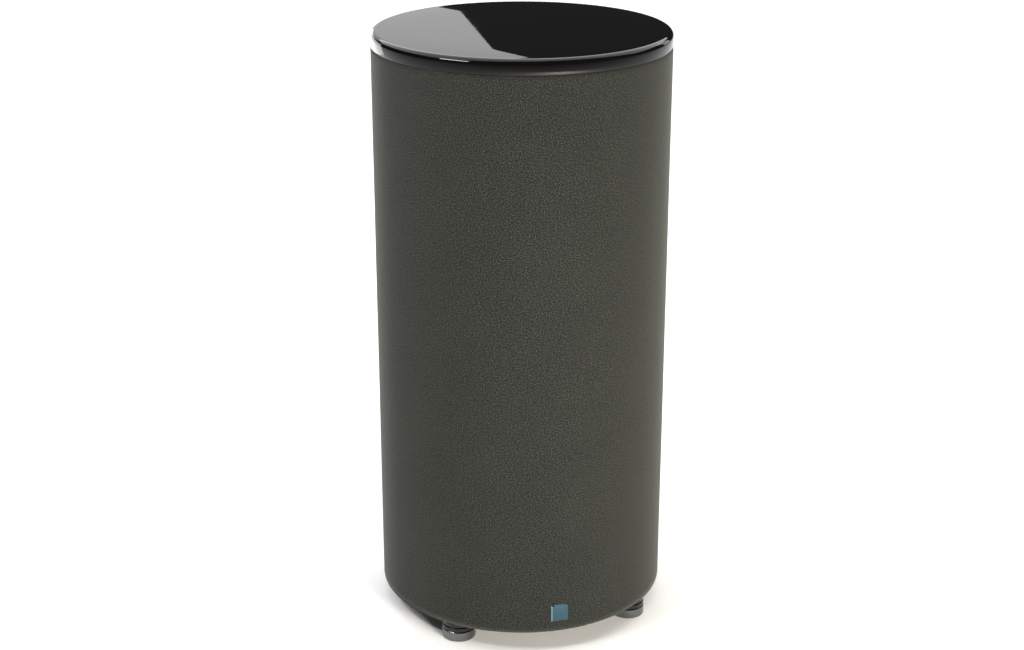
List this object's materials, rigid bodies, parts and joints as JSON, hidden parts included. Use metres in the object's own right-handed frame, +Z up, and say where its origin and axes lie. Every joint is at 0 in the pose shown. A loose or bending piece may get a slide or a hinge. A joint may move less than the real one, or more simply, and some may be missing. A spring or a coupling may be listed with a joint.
{
  "type": "cylindrical subwoofer",
  "caption": "Tall round powered subwoofer in a knitted sleeve, with a gloss cap, a down-firing driver, a flared rear port, a rear amplifier panel and levelling feet.",
  "frame": {"origin": "on the floor, on the cabinet's axis", "axes": "+Z up along the cabinet, -Y to the front, where the badge is, and +Y to the rear, where the port and the amplifier panel are"},
  "size_m": [0.4218, 0.426, 0.866],
  "materials": {
    "fibreboard": "raw wound fibreboard",
    "mdf": "sawn medium-density fibreboard",
    "mdf_black": "fibreboard sprayed matt black",
    "sleeve_knit": "dark grey-green melange knit",
    "cap_lacquer": "gloss black lacquer",
    "badge_metal": "bevelled, satin blue-grey",
    "lining_felt": "polyester felt",
    "port_plastic": "fine-textured moulding",
    "basket": "die-cast, powder-coated",
    "surround_rubber": "butyl rubber",
    "cone_paper": "coated pulp",
    "former": "polyimide film",
    "winding": "enamelled copper wire",
    "spider_cloth": "resin-dipped cotton",
    "motor_steel": "zinc-plated",
    "ferrite": "pressed ferrite",
    "boot_rubber": "moulded",
    "terminal_plastic": "moulded",
    "frame_plastic": "fine-textured moulding",
    "panel_metal": "black anodised, bead-blasted",
    "can_steel": "zinc-plated pressing",
    "circuit_green": "solder-masked laminate",
    "sink_metal": "extruded",
    "transformer_wrap": "taped winding",
    "capacitor_sleeve": "shrink-sleeved can",
    "fitting_plastic": "moulded",
    "knob_plastic": "moulded, soft sheen",
    "jack_gold": "gold-flashed",
    "jack_nickel": "nickel-plated",
    "led_lens": "clear diffused lens",
    "lead_pvc": "flexible sheath",
    "foot_nickel": "satin nickel",
    "foot_rubber": "moulded",
    "foot_black": "satin black"
  },
  "bodies": {
    "cabinet": {"cabinet_tube": "fibreboard", "top_board": "mdf", "upper_brace": "mdf", "lower_brace": "mdf", "driver_baffle": "mdf_black", "base_ring": "mdf_black", "fabric_sleeve": "sleeve_knit", "top_cap": "cap_lacquer", "badge": "badge_metal", "wall_lining": "lining_felt", "port_flare": "port_plastic", "port_level_pipe": "port_plastic", "port_elbow": "port_plastic", "port_upright_pipe": "port_plastic", "port_inner_flare": "port_plastic", "driver_frame": "basket", "surround": "surround_rubber", "spider": "spider_cloth", "top_plate": "motor_steel", "pole_yoke": "motor_steel", "magnet_ring": "ferrite", "magnet_boot": "boot_rubber", "amp_gasket": "boot_rubber", "driver_terminal": "terminal_plastic", "amp_frame": "frame_plastic", "amp_panel": "panel_metal", "amp_case": "can_steel", "circuit_board": "circuit_green", "heat_sink": "sink_metal", "transformer": "transformer_wrap", "reservoir_capacitor": "capacitor_sleeve", "mains_inlet": "fitting_plastic", "switch_housing": "fitting_plastic", "input_jacks": "jack_gold", "output_jacks": "jack_gold", "trigger_jack": "jack_nickel", "status_led": "led_lens", "speaker_lead": "lead_pvc"},
    "cone_assembly": {"cone": "cone_paper", "dust_cap": "cone_paper", "coil_former": "former", "voice_coil": "winding"},
    "volume_knob": {"volume_knob": "knob_plastic"},
    "lowpass_knob": {"lowpass_knob": "knob_plastic"},
    "phase_knob": {"phase_knob": "knob_plastic"},
    "power_rocker": {"power_rocker": "fitting_plastic"},
    "auto_switch": {"auto_switch_nub": "fitting_plastic"},
    "fuse_drawer": {"fuse_drawer": "fitting_plastic"},
    "foot_1": {"foot_1_base": "foot_nickel", "foot_1_pad": "foot_rubber"},
    "foot_1_screw": {"foot_1_hub": "foot_black"},
    "foot_2": {"foot_2_base": "foot_nickel", "foot_2_pad": "foot_rubber"},
    "foot_2_screw": {"foot_2_hub": "foot_black"},
    "foot_3": {"foot_3_base": "foot_nickel", "foot_3_pad": "foot_rubber"},
    "foot_3_screw": {"foot_3_hub": "foot_black"},
    "foot_4": {"foot_4_base": "foot_nickel", "foot_4_pad": "foot_rubber"},
    "foot_4_screw": {"foot_4_hub": "foot_black"}
  },
  "joints": [
    {"name": "driver_excursion", "type": "slide", "parent": "cabinet", "child": "cone_assembly", "axis": [0, 0, 1], "range_m": [-0.015, 0.015], "stiffness_N_per_m": 3500, "deforming": ["surround", "spider"]},
    {"name": "volume_turn", "type": "hinge", "parent": "cabinet", "child": "volume_knob", "pos_m": [0.062, 0.186, 0.348], "axis": [0, 1, 0], "range_deg": [-150, 150]},
    {"name": "lowpass_turn", "type": "hinge", "parent": "cabinet", "child": "lowpass_knob", "pos_m": [0, 0.186, 0.348], "axis": [0, 1, 0], "range_deg": [-150, 150]},
    {"name": "phase_turn", "type": "hinge", "parent": "cabinet", "child": "phase_knob", "pos_m": [-0.062, 0.186, 0.348], "axis": [0, 1, 0], "range_deg": [-150, 150]},
    {"name": "power_rocker_tilt", "type": "hinge", "parent": "cabinet", "child": "power_rocker", "pos_m": [0.046, 0.174, 0.178], "axis": [1, 0, 0], "range_deg": [0, 12]},
    {"name": "auto_switch_slide", "type": "slide", "parent": "cabinet", "child": "auto_switch", "axis": [0, 0, 1], "range_m": [0, 0.005]},
    {"name": "fuse_drawer_slide", "type": "slide", "parent": "cabinet", "child": "fuse_drawer", "axis": [0, 1, 0], "range_m": [0, 0.014]},
    {"name": "foot_1_travel", "type": "slide", "parent": "cabinet", "child": "foot_1", "axis": [0, 0, 1], "range_m": [-0.005, 0.0015]},
    {"name": "foot_1_turn", "type": "hinge", "parent": "foot_1", "child": "foot_1_screw", "pos_m": [-0.13011, -0.13011, 0.03], "axis": [0, 0, 1], "range_deg": [-1440, 432]},
    {"name": "foot_2_travel", "type": "slide", "parent": "cabinet", "child": "foot_2", "axis": [0, 0, 1], "range_m": [-0.005, 0.0015]},
    {"name": "foot_2_turn", "type": "hinge", "parent": "foot_2", "child": "foot_2_screw", "pos_m": [0.13011, -0.13011, 0.03], "axis": [0, 0, 1], "range_deg": [-1440, 432]},
    {"name": "foot_3_travel", "type": "slide", "parent": "cabinet", "child": "foot_3", "axis": [0, 0, 1], "range_m": [-0.005, 0.0015]},
    {"name": "foot_3_turn", "type": "hinge", "parent": "foot_3", "child": "foot_3_screw", "pos_m": [0.13011, 0.13011, 0.03], "axis": [0, 0, 1], "range_deg": [-1440, 432]},
    {"name": "foot_4_travel", "type": "slide", "parent": "cabinet", "child": "foot_4", "axis": [0, 0, 1], "range_m": [-0.005, 0.0015]},
    {"name": "foot_4_turn", "type": "hinge", "parent": "foot_4", "child": "foot_4_screw", "pos_m": [-0.13011, 0.13011, 0.03], "axis": [0, 0, 1], "range_deg": [-1440, 432]}
  ],
  "couplings": [
    {"joint": "foot_1_travel", "follows": "foot_1_turn", "m_per_rad": 0.00019894},
    {"joint": "foot_2_travel", "follows": "foot_2_turn", "m_per_rad": 0.00019894},
    {"joint": "foot_3_travel", "follows": "foot_3_turn", "m_per_rad": 0.00019894},
    {"joint": "foot_4_travel", "follows": "foot_4_turn", "m_per_rad": 0.00019894}
  ]
}
